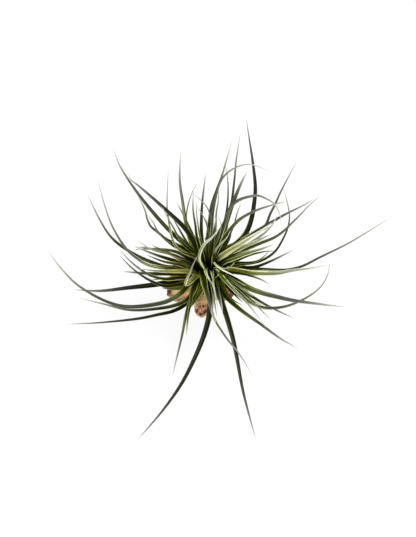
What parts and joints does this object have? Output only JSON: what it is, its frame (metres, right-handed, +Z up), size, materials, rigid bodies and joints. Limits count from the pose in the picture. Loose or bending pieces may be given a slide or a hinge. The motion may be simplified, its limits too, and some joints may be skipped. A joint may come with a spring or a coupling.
{
  "type": "hybrid air plant on cork bark",
  "caption": "Spreading rosette of narrow channelled grey-green leaves with thread-like tips, rooted on a lobed chunk of cork bark that rests on a flat underside.",
  "frame": {"origin": "on the flat underside of the bark, straight below the crown of the rosette", "axes": "+Z up, out of the surface that the bark rests on; the pictured front faces -Y; +X runs to the picture's right"},
  "size_m": [0.2456, 0.2207, 0.102],
  "materials": {
    "cork": "matte",
    "root": "matte",
    "leaf": "satin"
  },
  "bodies": {
    "root": {"cork_bark": "cork", "stem_and_roots": "root", "leaf_rosette": "leaf"}
  },
  "joints": []
}
